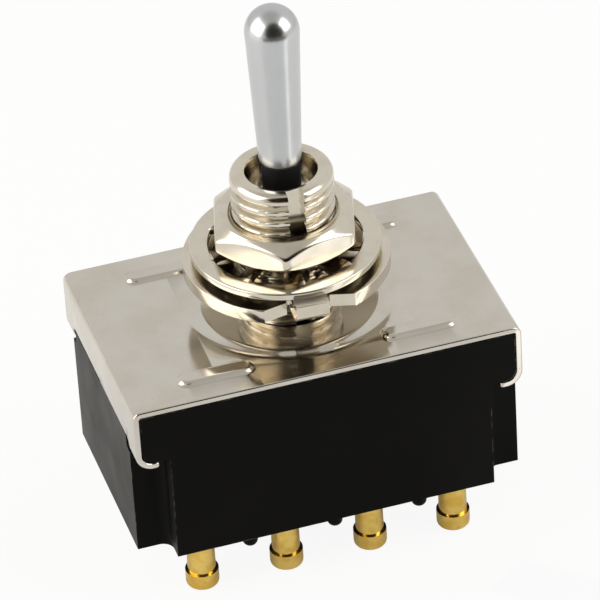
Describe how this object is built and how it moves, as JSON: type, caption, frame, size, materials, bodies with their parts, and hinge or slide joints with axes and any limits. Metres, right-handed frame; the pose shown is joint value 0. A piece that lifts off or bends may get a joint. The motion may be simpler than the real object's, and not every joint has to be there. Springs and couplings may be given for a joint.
{
  "type": "panel toggle switch",
  "caption": "Miniature multi-pole toggle switch with a bat lever, a threaded keyed bushing with its nut, lock washer and locating ring, a folded metal frame on a moulded case, and round pins.",
  "frame": {"origin": "on the bushing's axis at the mounting face, which is the top of the frame's raised boss", "axes": "+Z out of the panel along the bushing and the upright lever, X along the row of poles, the lever swings in Y"},
  "size_m": [0.023, 0.0146, 0.0343],
  "materials": {
    "phenolic": "moulded, satin",
    "nickel_sheet": "nickel plate on pressed sheet",
    "nickel_turned": "nickel plate on turned brass",
    "nickel_nut": "nickel plate on turned brass",
    "nickel_washer": "nickel plate on stamped steel",
    "nickel_ring": "nickel plate on stamped steel",
    "chrome": "polished chrome plate",
    "gold": "gold plate on turned brass",
    "brass": "turned",
    "steel": "drawn wire",
    "nylon": "moulded",
    "fibre": "pressed fibre"
  },
  "bodies": {
    "housing": {"case": "phenolic", "frame": "nickel_sheet", "insulating_sheet": "fibre", "bushing": "nickel_turned", "pivot_pin": "steel", "hex_nut": "nickel_nut", "lock_washer": "nickel_washer", "locating_ring": "nickel_ring", "center_terminal_1": "gold", "front_terminal_1": "gold", "rear_terminal_1": "gold", "center_terminal_2": "gold", "front_terminal_2": "gold", "rear_terminal_2": "gold", "center_terminal_3": "gold", "front_terminal_3": "gold", "rear_terminal_3": "gold", "center_terminal_4": "gold", "front_terminal_4": "gold", "rear_terminal_4": "gold"},
    "lever": {"toggle_lever": "chrome", "lever_sleeve": "nylon"},
    "carriage": {"carriage": "nylon", "plunger_spring_1": "steel", "plunger_spring_2": "steel", "plunger_spring_3": "steel", "plunger_spring_4": "steel"},
    "plunger_1": {"plunger_1": "brass"},
    "rocker_1": {"rocker_1": "gold"},
    "plunger_2": {"plunger_2": "brass"},
    "rocker_2": {"rocker_2": "gold"},
    "plunger_3": {"plunger_3": "brass"},
    "rocker_3": {"rocker_3": "gold"},
    "plunger_4": {"plunger_4": "brass"},
    "rocker_4": {"rocker_4": "gold"}
  },
  "joints": [
    {"name": "lever_swing", "type": "hinge", "parent": "housing", "child": "lever", "pos_m": [0, 0, 0.0049], "axis": [1, 0, 0], "range_deg": [-12, 12]},
    {"name": "carriage_slide", "type": "slide", "parent": "housing", "child": "carriage", "axis": [0, 1, 0], "range_m": [-0.00157, 0.00157]},
    {"name": "plunger_1_travel", "type": "slide", "parent": "carriage", "child": "plunger_1", "axis": [0, 0, 1], "range_m": [0, 0.0004], "stiffness_N_per_m": 200, "springref_m": -0.001, "deforming": ["plunger_spring_1"]},
    {"name": "rocker_1_tilt", "type": "hinge", "parent": "housing", "child": "rocker_1", "pos_m": [-0.00762, 0, -0.0079], "axis": [1, 0, 0], "range_deg": [-8.1, 8.1]},
    {"name": "plunger_2_travel", "type": "slide", "parent": "carriage", "child": "plunger_2", "axis": [0, 0, 1], "range_m": [0, 0.0004], "stiffness_N_per_m": 200, "springref_m": -0.001, "deforming": ["plunger_spring_2"]},
    {"name": "rocker_2_tilt", "type": "hinge", "parent": "housing", "child": "rocker_2", "pos_m": [-0.00254, 0, -0.0079], "axis": [1, 0, 0], "range_deg": [-8.1, 8.1]},
    {"name": "plunger_3_travel", "type": "slide", "parent": "carriage", "child": "plunger_3", "axis": [0, 0, 1], "range_m": [0, 0.0004], "stiffness_N_per_m": 200, "springref_m": -0.001, "deforming": ["plunger_spring_3"]},
    {"name": "rocker_3_tilt", "type": "hinge", "parent": "housing", "child": "rocker_3", "pos_m": [0.00254, 0, -0.0079], "axis": [1, 0, 0], "range_deg": [-8.1, 8.1]},
    {"name": "plunger_4_travel", "type": "slide", "parent": "carriage", "child": "plunger_4", "axis": [0, 0, 1], "range_m": [0, 0.0004], "stiffness_N_per_m": 200, "springref_m": -0.001, "deforming": ["plunger_spring_4"]},
    {"name": "rocker_4_tilt", "type": "hinge", "parent": "housing", "child": "rocker_4", "pos_m": [0.00762, 0, -0.0079], "axis": [1, 0, 0], "range_deg": [-8.1, 8.1]}
  ],
  "couplings": [
    {"joint": "carriage_slide", "follows": "lever_swing", "m_per_rad": 0.007445},
    {"joint": "rocker_1_tilt", "follows": "lever_swing", "ratio": -0.66667},
    {"joint": "rocker_2_tilt", "follows": "lever_swing", "ratio": -0.66667},
    {"joint": "rocker_3_tilt", "follows": "lever_swing", "ratio": -0.66667},
    {"joint": "rocker_4_tilt", "follows": "lever_swing", "ratio": -0.66667}
  ]
}
